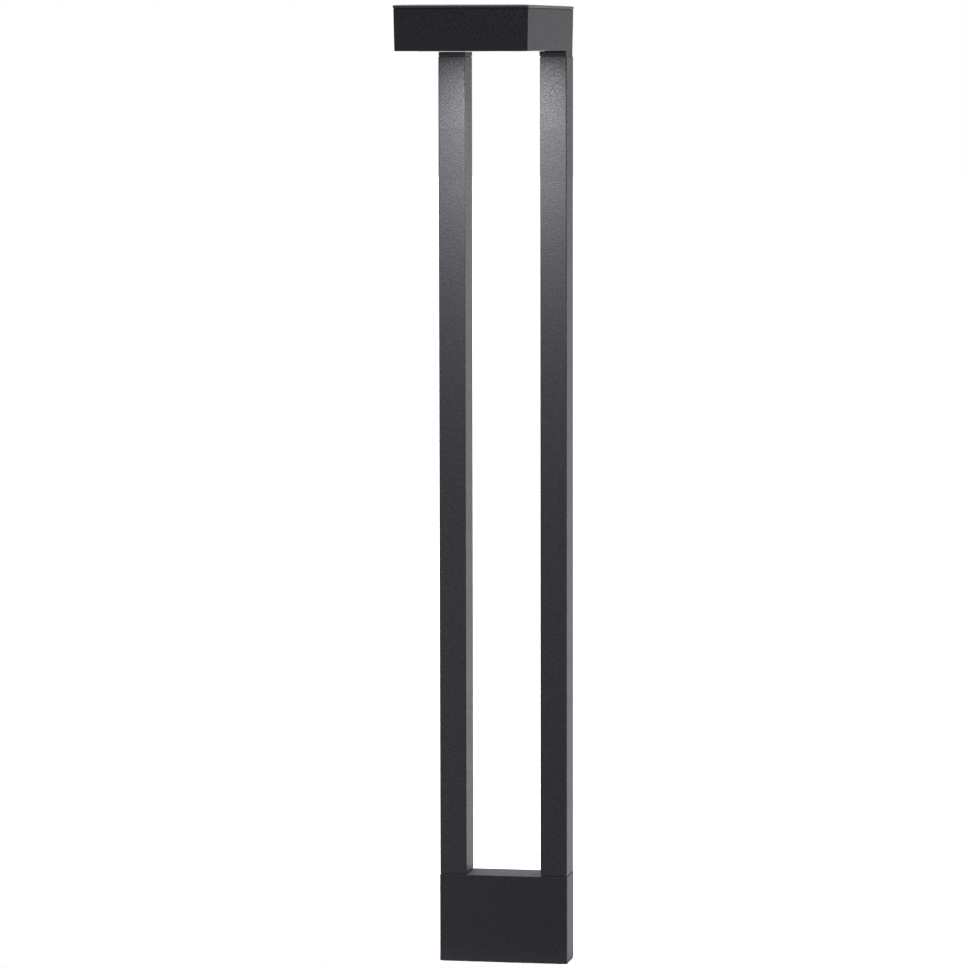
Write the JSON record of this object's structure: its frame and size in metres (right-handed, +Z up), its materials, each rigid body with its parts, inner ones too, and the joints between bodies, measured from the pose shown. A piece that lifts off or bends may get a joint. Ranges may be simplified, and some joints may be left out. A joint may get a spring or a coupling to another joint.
{
  "type": "bollard light",
  "caption": "Path bollard light: flat cantilevered lamp head lighting downwards, on twin rectangular posts above a low block plinth, in graphite powder coat.",
  "frame": {"origin": "centre of the plinth's underside, on the anchor plate's ground face", "axes": "+Z up, X across the two posts (+X is the lamp's left-hand side seen from behind the posts, the right-hand side seen from in front), the lamp head reaches out towards -Y"},
  "size_m": [0.1368, 0.2834, 1],
  "materials": {
    "graphite_powder_coat": "fine-texture graphite powder coat on aluminium",
    "bare_cast_aluminium": "as cast",
    "milled_aluminium": "milled sheet",
    "stainless_steel": "satin stainless",
    "black_rubber": "matt EPDM",
    "opal_lens": "opal, satin outside, lit from behind",
    "white_reflector": "white",
    "white_circuit_board": "white solder mask",
    "led_phosphor": "yellow phosphor",
    "driver_case": "moulded white case",
    "grey_terminal": "moulded grey",
    "cable_sheath": "matt black sheath"
  },
  "bodies": {
    "root": {"base_housing": "graphite_powder_coat", "post_left": "graphite_powder_coat", "post_right": "graphite_powder_coat", "head_housing": "graphite_powder_coat", "top_cover": "graphite_powder_coat", "anchor_plate": "bare_cast_aluminium", "lens_frame": "milled_aluminium", "heat_spreader": "milled_aluminium", "base_screw_left": "stainless_steel", "base_screw_right": "stainless_steel", "earth_screw": "stainless_steel", "tie_rod_left": "stainless_steel", "tie_rod_right": "stainless_steel", "tie_nut_lower_left": "stainless_steel", "tie_nut_upper_left": "stainless_steel", "tie_nut_lower_right": "stainless_steel", "tie_nut_upper_right": "stainless_steel", "cover_screw_front_left": "stainless_steel", "cover_screw_front_right": "stainless_steel", "cover_screw_rear_left": "stainless_steel", "cover_screw_rear_right": "stainless_steel", "lens_screw_1": "stainless_steel", "lens_screw_2": "stainless_steel", "lens_screw_3": "stainless_steel", "lens_screw_4": "stainless_steel", "spreader_screw_1": "stainless_steel", "spreader_screw_2": "stainless_steel", "spreader_screw_3": "stainless_steel", "spreader_screw_4": "stainless_steel", "driver_screw_left": "stainless_steel", "driver_screw_right": "stainless_steel", "entry_grommet": "black_rubber", "entry_plug": "black_rubber", "post_seal_lower_left": "black_rubber", "post_seal_upper_left": "black_rubber", "post_seal_lower_right": "black_rubber", "post_seal_upper_right": "black_rubber", "cover_gasket": "black_rubber", "lens_gasket": "black_rubber", "diffuser_lens": "opal_lens", "reflector": "white_reflector", "led_board": "white_circuit_board", "led_1": "led_phosphor", "led_2": "led_phosphor", "led_3": "led_phosphor", "led_4": "led_phosphor", "led_5": "led_phosphor", "led_6": "led_phosphor", "led_driver": "driver_case", "junction_box": "grey_terminal", "junction_cover": "grey_terminal", "terminal_block": "grey_terminal", "post_cable": "cable_sheath", "led_lead": "cable_sheath"}
  },
  "joints": []
}
